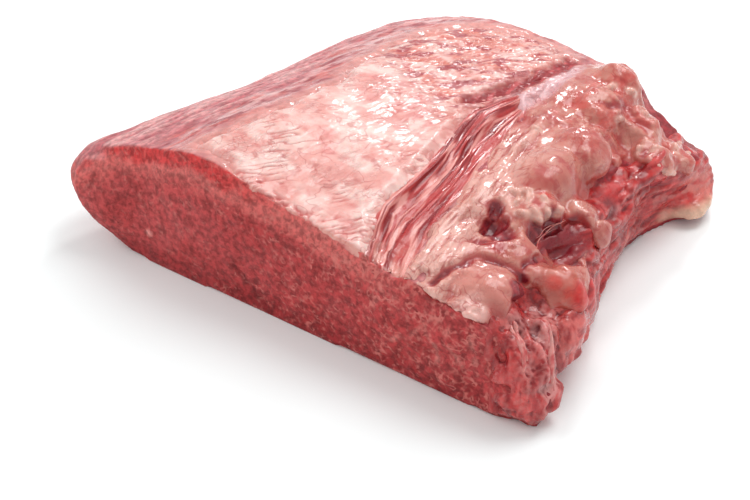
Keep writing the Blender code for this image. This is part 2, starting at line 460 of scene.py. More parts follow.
def cut_tint(places):
    """Lean cut across the grain: bright along the top rim and darker at the right, with painted shade low
    down and along its crease.
    """
    x, _, z = places.T
    ragged = z - np.interp(x, RIM_X, RIM_Z) + 3 * rough(places, 9, 3, 199)
    return layered(
        mixed(tone(176, 70, 70), tone(170, 60, 61), smooth(-110, 20, x)),
        ((166, 54, 54), 0.5 * smooth(-0.1, 0.5, rough(places, (24, 24, 24), 3, 111))),
        # Painted shade along the low edge of the cut face
        ((136, 30, 34), 0.6 * smooth(20, 4, z)),
        ((204, 102, 97), 0.8 * smooth(-20, -8, ragged) * smooth(90, 30, x)),
        ((192, 42, 44), 0.8 * smooth(-9, -4, ragged) * smooth(10, -50, x)),
        ((206, 130, 124), spot(places, (-91, -119, 20), 3.4)),
        # Painted shade along the crease
        ((104, 22, 26), 0.6 * near(places, CUT_CREASE, 2.6)),
    )


def cut_veins(places):
    """Pale veins of fat that branch down the cut face from the seam."""
    wavy = swayed(places, 2.2, 9, 113)
    return np.max([near(wavy, line, 2.2) for line in CUT_VEINS], axis=0)


places, normals = skin_of(lean)
x, y, z = places.T
lie = turned(places, LEAN_TURN)
facing_front = smooth(0.45, 0.8, -normals[:, 1]) * smooth(-100, -108, y)
seam_side = smooth(62, 100, x) * (1 - facing_front)
left_side = (1 - facing_front) * (1 - smooth(30, 70, x))
under = smooth(-0.5, -0.95, normals[:, 2])
rise = 0.5 * rough(places, 22, 3, 11)
rise += facing_front * (0.30 * rough(places, 5, 3, 13) - 0.8 * near(places, CUT_CREASE, 2.6))
rise += left_side * (0.35 * rough(lie, (6, 42, 6), 3, 101) + 0.45 * rough(lie, (7, 20, 9), 4, 109))
rise += seam_side * (1.0 * rough(places, (9, 16, 7), 3, 19) - 0.8 * creases(places, (12, 22, 9), 23))
rise -= 1.8 * smooth(-2, 3, cap_depth(places)) * (1 - facing_front)
rise -= 3.0 * smooth(-2, 3, strip_depth(places)) * (1 - facing_front)
rise -= 1.6 * seam_side * smooth(92, 100, x)
rise -= 12 * smooth(-1, 6, seam_depth(places)) + 1.5 * near(places, STREAK, 10)
rise *= (1 - under) * smooth(0.2, 4, z)
move_to(lean, tucked(places + normals * rise[:, None]))
dye(lean, layered(
    film_tint(places), ((150, 44, 50), seam_side), (cut_tint(places), facing_front),
    ((216, 140, 130), 0.45 * cut_veins(places) * facing_front),
))
shine = 0.3 + 0.65 * smooth(-34, -14, cap_depth(places))
keep(lean, "gloss", (1 - facing_front) * shine * (1 - 0.6 * streak_share(places)))
fatter = np.interp(x, [-140, -60, 10, 70, 130], [0.5, 0.55, 0.75, 0.85, 0.85])
keep(lean, "marble", facing_front * fatter)
by_rim = smooth(-26, -8, z - np.interp(x, RIM_X, RIM_Z))
keep(lean, "flecks", np.interp(x, [-140, -40, 60, 130], [0.60, 0.65, 0.85, 0.9]) + 0.2 * by_rim)


def group(name, inputs, outputs, kind="Shader"):
    """A node group with named inputs and outputs: its tree and its two ends."""
    tree = bpy.data.node_groups.new(name, kind + "NodeTree")
    for label, sort, value in inputs:
        socket = tree.interface.new_socket(label, in_out="INPUT", socket_type="NodeSocket" + sort)
        if value is not None:
            socket.default_value = value
    for label, sort in outputs:
        tree.interface.new_socket(label, in_out="OUTPUT", socket_type="NodeSocket" + sort)
    start, end = tree.nodes.new("NodeGroupInput"), tree.nodes.new("NodeGroupOutput")
    return tree, start.outputs, end.inputs


def maths(tree, operation, *values):
    return shader_node(tree, "Math", values, operation=operation).outputs[0]


def plus(tree, one, other):
    return maths(tree, "ADD", one, other)


def minus(tree, one, other):
    return maths(tree, "SUBTRACT", one, other)


def times(tree, one, other):
    return maths(tree, "MULTIPLY", one, other)


def ridge(tree, noise):
    """How far a noise is from its middle: 0 along wandering lines."""
    return maths(tree, "ABSOLUTE", minus(tree, noise, 0.5))


def between(tree, value, low, high, to_low=0.0, to_high=1.0):
    """Eases a value from one range into another."""
    made = shader_node(tree, "MapRange", (value, low, high, to_low, to_high), interpolation_type="SMOOTHSTEP")
    return made.outputs[0]


def blend(tree, share, under, over):
    pair = {0: share, 6: under, 7: over}
    return shader_node(tree, "Mix", pair, data_type="RGBA", clamp_factor=True).outputs[2]


def scaled(tree, vector, factor):
    return shader_node(tree, "VectorMath", {0: vector, "Scale": factor}, operation="SCALE").outputs[0]


def noise_at(tree, vector, scale, detail=2.0, roughness=0.5, distortion=0.0):
    values = {"Scale": scale, "Detail": detail, "Roughness": roughness, "Distortion": distortion}
    return shader_node(tree, "TexNoise", {"Vector": vector, **values}).outputs["Fac"]


def stretched(tree, vector, turn, size):
    """Object coordinates in turned axes, counted in sizes (mm) along each."""
    turn, size = [math.radians(a) for a in turn], [s * MM for s in size]
    inputs = {"Vector": vector, "Rotation": turn, "Scale": size}
    return shader_node(tree, "Mapping", inputs, vector_type="TEXTURE").outputs["Vector"]


def stored(tree, name, output="Fac"):
    """A value or colour kept at each point of the mesh."""
    return shader_node(tree, "Attribute", attribute_name=name, attribute_type="GEOMETRY").outputs[output]


def bent_place(tree, place, fineness, amount):
    """Coordinates pushed about by a noise as coarse as 1 / fineness."""
    warp = shader_node(tree, "TexNoise", {"Vector": place, "Scale": fineness, "Detail": 2.0})
    shift = shader_node(tree, "VectorMath", (warp.outputs["Color"], (0.5, 0.5, 0.5)), operation="SUBTRACT")
    pushed = scaled(tree, shift.outputs[0], maths(tree, "DIVIDE", amount, fineness))
    return shader_node(tree, "VectorMath", (place, pushed), operation="ADD").outputs[0]


def tissue_group(name, spacing_mm, outputs):
    """A group of patterns `spacing_mm` apart: its tree and ends, and how fine they are."""
    inputs = [("Place", "Vector", None), ("Spacing mm", "Float", spacing_mm), ("Amount", "Float", 0.5)]
    tree, take, give = group(name, inputs, [(output, "Float") for output in outputs])
    return tree, take["Place"], take["Amount"], give, maths(tree, "DIVIDE", 1 / MM, take["Spacing mm"])


def make_marbling():
    """Short wandering flecks of fat between the muscle's grains."""
    tree, place, amount, give, fineness = tissue_group("marbling", 3.0, ["Flecks", "Grain"])
    bent = bent_place(tree, place, times(tree, fineness, 1.2), 1.0)
    line = between(tree, ridge(tree, noise_at(tree, bent, fineness, 1.0, 0.4)), 0.13, 0.03)
    small = noise_at(tree, place, times(tree, fineness, 1.1), 1.0, 0.5)
    large = noise_at(tree, place, times(tree, fineness, 0.28), 2.0, 0.6)
    breaks = plus(tree, times(tree, small, 0.6), times(tree, large, 0.4))
    least = minus(tree, 0.62, times(tree, amount, 0.22))
    present = between(tree, breaks, least, plus(tree, least, 0.26))
    tree.links.new(times(tree, line, present), give["Flecks"])
    tree.links.new(noise_at(tree, bent, times(tree, fineness, 1.05), 3.0, 0.6), give["Grain"])
    return tree


def capillaries():
    """Hair-fine blood vessels that branch under the skin of the fat."""
    tree, place, amount, give, fineness = tissue_group("capillaries", 8.0, ["Vessels"])
    bent = bent_place(tree, place, fineness, 1.3)
    line = between(tree, ridge(tree, noise_at(tree, bent, fineness, 2.0, 0.5)), 0.022, 0.0)
    patchy = noise_at(tree, place, times(tree, fineness, 0.8), 2.0, 0.6)
    least = minus(tree, 0.72, times(tree, amount, 0.4))
    present = between(tree, patchy, least, plus(tree, least, 0.12))
    tree.links.new(times(tree, line, present), give["Vessels"])
    return tree


marbling, vessels = make_marbling(), capillaries()


def grouped(tree, made, **inputs):
    """Places a node group in a material, with its own values."""
    named = {name.replace("_", " "): value for name, value in inputs.items()}
    return shader_node(tree, "Group", named, node_tree=made).outputs


def bump(tree, height, strength, distance_mm, normal=None):
    values = {"Strength": strength, "Distance": distance_mm * MM, "Height": height, "Normal": normal}
    return shader_node(tree, "Bump", values).outputs["Normal"]


FLECK, BLOOD = paint(212, 120, 112), paint(168, 44, 48)
VESSEL_SPACING_MM, VESSEL_AMOUNT = 16.0, 0.8
TISSUE_IOR, COAT_ROUGHNESS, LIGHT_REACH = 1.42, 0.07, (1.0, 0.30, 0.22)
CRINKLE_FINENESS, WET_FINENESS = 38, 75  # per metre


def beef_material(
    name, spacing, grain, wrinkle, wrinkle_mm, turn, dry, wet, shine, coat,
    red=BLOOD, depth_mm=1.6, through=0.15,
):
    """Raw tissue: its painted tint, mottled, with flecks of fat (attribute marble) and blood
    vessels (attribute veins), wrinkled, wet in patches, and letting light in a little way.
    Attribute gloss says how wet it is.  Flecks are `spacing` mm apart and `grain` strong,
    wrinkles have a size (mm), a depth (mm) and a turn, and `dry` and `wet` are roughness."""
    material, tree, shader = new_material(name)
    place = shader_node(tree, "TexCoord").outputs["Object"]
    tint = stored(tree, "tint", "Color")
    inner = grouped(tree, marbling, Place=place, Spacing_mm=spacing, Amount=stored(tree, "flecks"))
    gloss = stored(tree, "gloss")
    strong = minus(tree, 1.0, times(tree, gloss, 0.7))
    mottled = scaled(tree, tint, between(tree, inner["Grain"], 0.3, 0.7, 1 - grain, 1 + 0.8 * grain))
    tint = blend(tree, strong, tint, mottled)
    tint = blend(tree, times(tree, inner["Flecks"], stored(tree, "marble")), tint, FLECK)
    lines = grouped(tree, vessels, Place=place, Spacing_mm=VESSEL_SPACING_MM, Amount=VESSEL_AMOUNT)
    tint = blend(tree, times(tree, lines["Vessels"], stored(tree, "veins")), tint, red)
    folds = noise_at(tree, stretched(tree, place, (0, 0, turn), wrinkle), 1.0, 4.0, 0.62, 0.8)
    crinkled = between(tree, noise_at(tree, place, CRINKLE_FINENESS, 3.0, 0.6), 0.42, 0.62, 0.12, 1.0)
    valley = between(tree, ridge(tree, folds), 0.10, 0.0)
    valley = times(tree, valley, crinkled)
    folds = plus(tree, times(tree, minus(tree, folds, 0.5), crinkled), 0.5)
    folds = minus(tree, folds, times(tree, valley, 0.16))
    crack = times(tree, between(tree, valley, 0.3, 1.0), 0.5)
    tint = blend(tree, times(tree, crack, stored(tree, "veins")), tint, red)
    tree.links.new(tint, shader.inputs["Base Color"])
    normal = bump(tree, folds, 0.8, wrinkle_mm)
    normal = bump(tree, inner["Grain"], 0.4, 1.6 * grain, normal)
    tree.links.new(normal, shader.inputs["Normal"])
    patches = noise_at(tree, place, WET_FINENESS, 4.0, 0.6)
    wetness = between(tree, patches, 0.42, 0.60, dry, wet)
    matt = times(tree, minus(tree, 1.0, gloss), 0.25)
    tree.links.new(plus(tree, wetness, matt), shader.inputs["Roughness"])
    tree.links.new(times(tree, gloss, coat), shader.inputs["Coat Weight"])
    for label, value in (
        ("Subsurface Weight", through), ("Subsurface Radius", LIGHT_REACH),
        ("Subsurface Scale", depth_mm * MM), ("IOR", TISSUE_IOR), ("Specular IOR Level", shine),
        ("Coat Roughness", COAT_ROUGHNESS),
    ):
        shader.inputs[label].default_value = value
    return material


def finish_piece(thing, material):
    thing.data.materials.clear()
    thing.data.materials.append(material)
    thing.data.shade_smooth()
    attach(thing, "root")
    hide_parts("brisket")


lean_beef = beef_material(
    "lean_beef", spacing=3.6, grain=0.42, wrinkle=(3, 9, 3), wrinkle_mm=0.6, turn=LEAN_TURN,
    dry=0.46, wet=0.26, shine=0.3, coat=0.45,
)
finish_piece(lean, lean_beef)


# Fat cap
# A sheet of firm fat, 2 to 4 mm thick over the middle of the top, and thin and broken by lean
# towards the back.  Its edges fade into the lean; in front the knife has left it square.


def connected(items, beside):
    """Groups of faces or edges that hang together; `beside` gives the neighbours of one.
    They are kept in dicts, because a set of them comes in another order at each run."""
    left, groups = dict.fromkeys(items), []
    while left:
        members, queue = {}, [next(iter(left))]
        while queue:
            item = queue.pop()
            if item in left:
                del left[item]
                members[item] = True
                queue.extend(other for other in beside(item) if other in left)
        groups.append(members)
    return groups


def patch_of(name, wanted, levels):
    """The part of the solid's skin where `wanted` holds, in faces halved `levels` times."""
    bm = bmesh.new()
    bm.from_mesh(skin_mesh)
    chosen = wanted(np.array([face.calc_center_median() for face in bm.faces]) / MM)
    bmesh.ops.delete(bm, geom=[f for f, hit in zip(bm.faces, chosen) if not hit], context="FACES")
    islands = connected(bm.faces, lambda face: [f for edge in face.edges for f in edge.link_faces])
    main = max(islands, key=len)
    bmesh.ops.delete(bm, geom=[face for face in bm.faces if face not in main], context="FACES")
    patch = placed(name, mesh_from(name, bm))
    divide = patch.modifiers.new("divide", "SUBSURF")
    divide.levels = divide.render_levels = levels
    return evaluated(patch, name)


def close_below(thing, depth, deeper=14):
    """Turns a patch into a closed piece: each rim goes inwards, and a buried cone closes it."""
    bm = bmesh.new()
    bm.from_mesh(thing.data)
    rim = [edge for edge in bm.edges if len(edge.link_faces) == 1]
    outer = {vert: vert.normal.copy() for edge in rim for vert in edge.verts}
    grown = bmesh.ops.extrude_edge_only(bm, edges=rim)["geom"]
    inward = {}
    for vert in (item for item in grown if isinstance(item, bmesh.types.BMVert)):
        above = next(edge.other_vert(vert) for edge in vert.link_edges if edge.other_vert(vert) in outer)
        inward[vert] = outer[above]
        vert.co = above.co - outer[above] * depth * MM
    loose = [item for item in grown if isinstance(item, bmesh.types.BMEdge) and len(item.link_faces) == 1]
    for ring in connected(loose, lambda edge: [e for vert in edge.verts for e in vert.link_edges]):
        verts = dict.fromkeys(vert for edge in ring for vert in edge.verts)
        middle = sum((vert.co for vert in verts), Vector()) / len(verts)
        down = sum((inward[vert] for vert in verts), Vector()).normalized()
        hub = bm.verts.new(middle - down * deeper * MM)
        for edge in ring:
            loop = edge.link_loops[0]
            bm.faces.new((loop.link_loop_next.vert, loop.vert, hub))
    bm.to_mesh(thing.data)
    bm.free()


def fat_tint(places, pale, pink, red, amount, seed):
    """Fat, clouded pink and stained red by blood."""
    tint = mixed(tone(*pale), tone(*pink), smooth(-0.45, 0.5, rough(places, (20, 12, 20), 4, seed)))
    return layered(tint, (red, amount * smooth(0.15, 0.75, rough(places, (11, 8, 11), 4, seed + 10))))


# The front edge of the cap, by x, above the cut face
CAP_RIM_X, CAP_RIM_Z = [-60, -20, 10, 40, 60], [76, 73, 67, 62, 57]


def cap_faces(places):
    """The faces of the skin that the cap is made from."""
    x, y, z = places.T
    above = (y > -112 + 3 * rough(places, 9, 2, 205)) | (z > np.interp(x, CAP_RIM_X, CAP_RIM_Z) - 4)
    return (cap_depth(places) > -5) & (strip_depth(places) < 3) & (z > 50) & above


cap = patch_of("fat_cap", cap_faces, levels=1)
places, normals = skin_of(cap)
x, y, z = places.T
depth, far = cap_depth(places), far_share(places)
face = smooth(0.3, 0.7, -normals[:, 1])
thick = (3.0 - 1.4 * far) * smooth(-4, 7, depth) - 2.2
roll = np.exp(-((inside(places, STRIP) + 4) / 3.2) ** 2)
lines = creases(turned(places, -38), (4.5, 22, 6), 31) * smooth(0.0, 0.45, rough(places, 24, 2, 33))
flakes = 1.1 * rough(turned(places, -35), (6, 18, 6), 3, 123) + 0.35 * rough(places, 4, 2, 125)
front = smooth(-1.5, 2.0, z - np.interp(x, CAP_RIM_X, CAP_RIM_Z) + 2.4 * rough(places, 7, 3, 206))
front = np.maximum(front, smooth(-112, -108, y))
rise = thick + 0.6 * rough(places, 20, 2, 29) + 0.42 * rough(turned(places, -22), (7, 18, 8), 2, 37)
rise += 0.26 * rough(turned(places, -12), (3.0, 11, 4), 3, 35)
rise -= 0.6 * lines
rise += 0.9 * roll * (1 - face) + far * flakes
rise -= 2.2 * streak_share(places) + 2.0 * (1 - front)
move_to(cap, places + normals * rise[:, None] * (1 - 0.6 * face)[:, None])
# low: how far each point lies in a hollow, for the painted shade and painted light below
low = cavity_shading(cap, 4)
tint = fat_tint(places, (238, 202, 194), (226, 162, 154), (206, 108, 104), 0.5, 131)
mix = fat_tint(places, (232, 188, 180), (212, 124, 110), (186, 76, 76), 0.8, 137)
# Lean shows through the thin fat at the back in purple shreds, drawn more into hollows as painted shade
shreds = rough(turned(places, -38), (7, 19, 7), 5, 127) + 0.5 * low
mix = layered(mix, ((158, 50, 62), 0.9 * smooth(0.0, 0.30, shreds)))
damp = spot(places + 6 * bumps(places, 14, 215)[:, None], (4, -8, 78), 38)
damp *= smooth(-0.3, 0.4, rough(turned(places, -22), (5, 15, 5), 3, 216))
tint = layered(
    mixed(tint, mix, far),
    ((188, 88, 84), 0.45 * lines),
    # Painted shade in the hollows
    ((196, 92, 88), (0.5 + 0.3 * far) * smooth(0.04, 0.30, low)),
    # Painted light on the bumps
    ((244, 212, 205), 0.4 * smooth(0.04, 0.25, -low)),
    ((220, 146, 132), 0.7 * face),
    ((204, 112, 108), 0.7 * damp * (1 - far)),
)
by_strip = smooth(-18, -10, inside(places, STRIP)) * (1 - far)
bare = np.maximum(streak_share(places), near(places, GLOSSY, 9))
own = np.maximum(smooth(-1, 6, depth), by_strip) * (1 - bare)
dye(cap, mixed(cut_tint(places), mixed(film_tint(places), tint, own), front))
keep(cap, "gloss", 1 - 0.6 * streak_share(places))
keep(cap, "veins", 0.40 - 0.1 * far)
close_below(cap, depth=3)
finish_piece(cap, beef_material(
    "cap_fat", spacing=3.4, grain=0.08, wrinkle=(5, 15, 7), wrinkle_mm=1.6, turn=-25,
    dry=0.44, wet=0.08, shine=0.4, coat=0.4, red=paint(176, 66, 66), depth_mm=2.5, through=0.25,
))


# Bare muscle strip
# Between the cap and the seam fat a long strip of another muscle lies bare and a little lower:
# bundles of red fibres that run its whole length, with pink membrane on their ridges.

# The strip's middle and half its width, by y
STRIP_Y = [-124, -104, -82, -60, -32, -10, 14, 40]
STRIP_MIDDLE, STRIP_HALF = [64, 56, 50, 49, 46, 42, 38, 40], [12, 12, 14, 14, 13, 13, 12, 5]


def strip_faces(places):
    return (strip_depth(places) > -4) & (places[:, 2] > 50) & (places[:, 1] > -117)


strip = patch_of("muscle_strip", strip_faces, levels=2)
places, normals = skin_of(strip)
x, y, _ = places.T
depth = strip_depth(places)
middle, half = np.interp(y, STRIP_Y, STRIP_MIDDLE), np.interp(y, STRIP_Y, STRIP_HALF)
lie = np.stack([(x - middle) / half * 13, y, np.zeros(len(places))], 1)
lie[:, 0] += 2.4 * bumps(lie, (12, 40, 1), 41)
ridges = 1 - np.abs(rough(lie, (8.5, 90, 1), 2, 43)) * 2.4
fine = 1 - np.abs(rough(lie, (3.2, 50, 1), 2, 47)) * 2
rise = -1.5 + 0.9 * ridges + 0.42 * fine + 0.5 * rough(places, 20, 2, 49)
rise -= 1.8 * (1 - smooth(-2, 1.5, depth))
move_to(strip, places + normals * rise[:, None])
pale = smooth(0.02, 0.40, rough(lie, (4.0, 45, 1), 4, 51)) * smooth(0.0, 0.7, fine)
tallow = smooth(-88, -112, y + 8 * rough(places, 8, 2, 53))
dye(strip, layered(
    mixed(tone(140, 18, 26), tone(186, 56, 56), smooth(-0.2, 0.7, fine)),
    ((232, 162, 154), 0.9 * pale),
    ((222, 158, 146), 0.8 * tallow * smooth(-0.3, 0.4, rough(lie, (5, 14, 1), 2, 55))),
    ((214, 140, 132), 0.8 * (1 - smooth(-1, 3.5, depth))),
))
keep(strip, "gloss", 1.0)
close_below(strip, depth=3)
finish_piece(strip, beef_material(
    "bare_muscle", spacing=3.0, grain=0.1, wrinkle=(1.8, 30, 6), wrinkle_mm=0.7, turn=9,
    dry=0.36, wet=0.14, shine=0.5, coat=0.35, depth_mm=1.5,
))


# Seam side
# Right of the strip the slab was pulled, not cut, from its neighbour.  Torn lean is bare below
# the fat, in soft bundles of fibres melted into it: along the side, and upright, with thicker
# chunks, round the near corner.


def bundles_tree():
    """Round bundles along curves, as thick as each curve's radius, with lumps on them."""
    tree, start, end = group("bundles", [
        ("Curves", "Geometry", None), ("Sides", "Int", 12), ("Step", "Float", 0.0014),
        ("Unevenness", "Float", 0.001), ("Lump Size", "Float", 0.006), ("Material", "Material", None),
    ], [("Mesh", "Geometry")], "Geometry")

    def step(kind, inputs=(), **settings):
        return add_node(tree, kind, inputs, **settings).outputs[0]

    spaced = {"Curve": start["Curves"], "Length": start["Step"]}
    even = step("GeometryNodeResampleCurve", spaced, mode="LENGTH")
    ring = step("GeometryNodeCurvePrimitiveCircle", {"Resolution": start["Sides"], "Radius": 1.0})
    width = step("GeometryNodeInputRadius")
    outline = {"Curve": even, "Profile Curve": ring, "Scale": width, "Fill Caps": True}
    tube = step("GeometryNodeCurveToMesh", outline)
    fineness = step("ShaderNodeMath", {0: 1.0, 1: start["Lump Size"]}, operation="DIVIDE")
    lumps = step("ShaderNodeTexNoise", {"Scale": fineness, "Detail": 2.0})
    centred = step("ShaderNodeMath", {0: lumps, 1: 0.5}, operation="SUBTRACT")
    reach = step("ShaderNodeMath", {0: centred, 1: start["Unevenness"]}, operation="MULTIPLY")
    outward = step("GeometryNodeInputNormal")
    shift = step("ShaderNodeVectorMath", {0: outward, "Scale": reach}, operation="SCALE")
    moved = step("GeometryNodeSetPosition", {"Geometry": tube, "Offset": shift})
    real = step("GeometryNodeRealizeInstances", {"Geometry": moved})
    dressed = step("GeometryNodeSetMaterial", {"Geometry": real, "Material": start["Material"]})
    tree.links.new(dressed, end["Mesh"])
    return tree


def run_tree(thing, tree, name, **values):
    """Runs a geometry tree on a thing, its inputs set by their identifiers."""
    modifier = thing.modifiers.new(name, "NODES")
    modifier.node_group = tree
    for item in tree.interface.items_tree:
        label = item.name.replace(" ", "_")
        if item.in_out == "INPUT" and label in values:
            modifier[item.identifier] = values[label]
    return evaluated(thing, name)


bundling = bundles_tree()


def make_bundles(name, lines, material, **values):
    """`lines` holds, for each bundle, its points (mm) and its radius at each (mm)."""
    data = bpy.data.curves.new(name, "CURVE")
    data.dimensions = "3D"
    for points, radii in lines:
        spline = data.splines.new("POLY")
        spline.points.add(len(points) - 1)
        for knot, point, radius in zip(spline.points, points, radii):
            knot.co = (*(Vector(point) * MM), 1)
            knot.radius = radius * MM
    return run_tree(placed(name, data), bundling, name, Material=material, **values)


def pillow(name, centre, radii, turn, seed, swelling=0.12):
    """A closed, uneven ellipsoid."""
    bm = bmesh.new()
    bmesh.ops.create_icosphere(bm, subdivisions=5, radius=1.0)
    made = placed(name, mesh_from(name, bm))
    ball = places_of(made) * MM
    shape = turned(ball * (1 + swelling * rough(ball, 0.8, 3, seed))[:, None] * radii, -turn)
    made.data.vertices.foreach_set("co", ((shape + centre) * MM).ravel())
    return made


def melted(name, things, voxel_mm, rounds):
    """One closed piece of several that overlap, their joints eased as soft tissue is."""
    bm = bmesh.new()
    for thing in things:
        bm.from_mesh(thing.data)
        bpy.data.objects.remove(thing)
    made = placed(name, mesh_from(name, bm))
    remesh = made.modifiers.new("voxels", "REMESH")
    remesh.mode, remesh.voxel_size = "VOXEL", voxel_mm * MM
    ease = made.modifiers.new("ease", "SMOOTH")
    ease.factor, ease.iterations = 0.5, rounds
    return evaluated(made, name)


def surface(thing):
    """Finds the nearest place of a thing's mesh, lifted off it by some mm."""
    places, normals = skin_of(thing)
    tree = KDTree(len(places))
    for i, place in enumerate(places):
        tree.insert(place, i)
    tree.balance()

    def lay(point, lift):
        _, i, _ = tree.find(point)
        return Vector(places[i] + normals[i] * lift)

    return lay


def torn_faces(places):
    """The faces of the skin that the torn lean is made from."""
    x, y, z = places.T
    return (x > 86) & (z > 1.2) & (z < 56) & ((x > 119) | (y > -110)) & (y < 116)


def torn_edge(places):
    """How far each place is from the edge of the torn lean."""
    x, y, z = places.T
    on_front = x - 119 + 20 * smooth(-114, -106, y)
    return np.minimum.reduce([x - 86, (z - 1.2) * 3, 58 - z, 116 - y, on_front])


torn = patch_of("torn_lean", torn_faces, levels=0)
places, normals = skin_of(torn)
on_face = smooth(-106, -112, places[:, 1])
rise = -0.6 + 1.6 * on_face + (1.4 - 0.9 * on_face) * rough(places, (16, 26, 12), 3, 75)
rise -= 3.6 * (1 - smooth(0, 7, torn_edge(places)))
rise *= smooth(0, 4, places[:, 2])
move_to(torn, places + normals * rise[:, None])
lay_on_torn = surface(torn)
close_below(torn, depth=4)
random = Random(4)


def bundle(start, end, radius, sway, lift, lay, count=14):
    """A bundle of fibres laid on a surface from one place to another."""
    start, end = Vector(start), Vector(end)
    aside = (end - start).cross(Vector((0.8, -0.5, 0.2))).normalized() * sway
    phase, beats = random.uniform(0, 6.28), random.uniform(0.5, 1.2)
    points, radii = [], []
    for step in range(count):
        share = step / (count - 1)
        bend = math.sin(phase + 6.28 * beats * share) * math.sin(math.pi * share)
        points.append(lay(start.lerp(end, share) + aside * bend, lift))
        swelling = 0.3 + 0.7 * math.sin(math.pi * (0.08 + 0.84 * share))
        radii.append(radius * swelling * random.uniform(0.85, 1.15))
    eased = [(a + b * 2 + c) / 4 for a, b, c in zip(points, points[1:], points[2:])]
    return [points[0]] + eased + [points[-1]], radii


def shifted(reach, *points):
    """Some points, all moved by one random step of up to `reach` mm along each axis."""
    shift = Vector([random.uniform(-reach, reach) for _ in range(3)])
    return [Vector(point) + shift for point in points]


# Where bundles start at the top of the corner, and where they end
CORNER = [
    ((122, -112, 46), (131, -116, 24)), ((127, -106, 45), (141, -112, 22)),
    ((131, -98, 43), (147, -104, 18)), ((134, -90, 40), (147, -95, 10)),
    ((136, -82, 38), (144, -86, 5)), ((138, -72, 34), (141, -74, 4)), ((137, -62, 30), (136, -62, 4)),
]
SIDE_BUNDLES = 26
corner_lines, side_lines = [], []
for top, foot in CORNER:
    for _ in range(3):
        start, end = shifted(3, top, foot)
        corner_lines.append(bundle(start, end, random.uniform(1.2, 3.4), 2.0, 0.3, lay_on_torn))
for k in range(SIDE_BUNDLES):
    height = 6 + 40 * (k / (SIDE_BUNDLES - 1)) ** 1.1
    begin = random.uniform(-58, 45)
    end = (116, begin + random.uniform(22, 48), height + random.uniform(-7, 9))
    side_lines.append(bundle((118, begin, height), end, random.uniform(1.8, 4.0), 2.0, 0.2, lay_on_torn))
for _ in range(5):
    start, end = shifted(2.2, (127, -97, 47), (149, -103, 20))
    corner_lines.append(bundle(start, end, random.uniform(1.4, 2.0), 0.6, 0.7, lay_on_torn))
soft = [
    torn, make_bundles("corner_bundles", corner_lines, lean_beef, Unevenness=0.0015),
    make_bundles("side_bundles", side_lines, lean_beef, Unevenness=0.0018),
]
for i, (centre, radii, turn) in enumerate((
    ((131, -112, 29), (11, 8, 9), 30), ((138, -110, 14), (13, 10, 10), 40), ((146, -99, 13), (7, 11, 10), 0),
    ((138, -70, 29), (8, 16, 14), 8), ((134, -90, 34), (9, 8, 12), 20),
)):
    soft.append(pillow("chunk", centre, radii, turn, seed=141 + i, swelling=0.14))
torn = melted("torn_lean", soft, voxel_mm=0.9, rounds=4)
# Folds between the chunks, the column and band of pulled membrane, and the fat by the far flap
FOLDS = [
    [(143, -90, 42), (148, -91, 28), (151, -92, 10)],
    [(123, -109, 46), (128, -114, 39), (125, -118, 31), (119, -118, 26)],
    [(128, -117, 20), (138, -115, 22), (149, -107, 23)], [(132, -118, 11), (142, -115, 12), (150, -104, 13)],
    [(133, -94, 43), (139, -98, 36), (143, -96, 26)],
]
COLUMN = [(130, -83, 43), (136, -92, 42), (141, -97, 37), (145, -98, 29), (149, -105, 22)]
BAND = [(125, -99, 48), (131, -105, 43), (140, -112, 33)]
FLAP_FAT = [(121, 72, 6), (127, 80, 7), (133, 89, 8), (136, 101, 8)]
SIDE_FAT = [(119, 60, 32), (118, 44, 20), (117, 28, 8)]
places, normals = skin_of(torn)
x, y, z = places.T
corner = smooth(-66, -84, y)
wavy = swayed(places, 1.8, 9, 186)
folds = np.max([near(wavy, line, 5.5) for line in FOLDS], axis=0)
grain = np.where(corner > 0.5, rough(places, (4, 4, 16), 3, 151), rough(places, (6, 18, 3), 3, 153))
fibres = 1 - 2.2 * np.abs(rough(swayed(places, 2, 12, 211), (3.0, 3.0, 26), 2, 214))
rise = (0.5 - 0.35 * corner) * grain + 0.5 * rough(places, 10, 2, 155) - 2.4 * folds
rise += 0.40 * corner * fibres
move_to(torn, tucked(places + normals * (rise * smooth(0.5, 4, z))[:, None]))
# How far each point lies in small and in broad hollows, for the painted shade and painted light below
low, deep = cavity_shading(torn, 5), cavity_shading(torn, 24)
away = smooth(130, 117, x) * smooth(-104, -112, y)
bright = mixed(tone(184, 34, 38), tone(212, 78, 76), smooth(-0.4, 0.4, grain))
chunk = mixed(tone(170, 48, 50), tone(212, 108, 102), smooth(-0.4, 0.4, grain))
flap = mixed(tone(200, 48, 46), tone(218, 120, 110), smooth(-0.3, 0.3, rough(places, (9, 9, 5), 3, 219)))
ends = np.maximum(spot(places, (131, -115, 29), 13), spot(places, (149, -100, 14), 9))
marbled = smooth(0.1, 0.6, rough(places, (7, 7, 10), 3, 195)) * spot(places, (142, -110, 14), 16)
pulled = np.maximum(near(places, COLUMN, 11), 0.8 * near(places, BAND, 7))
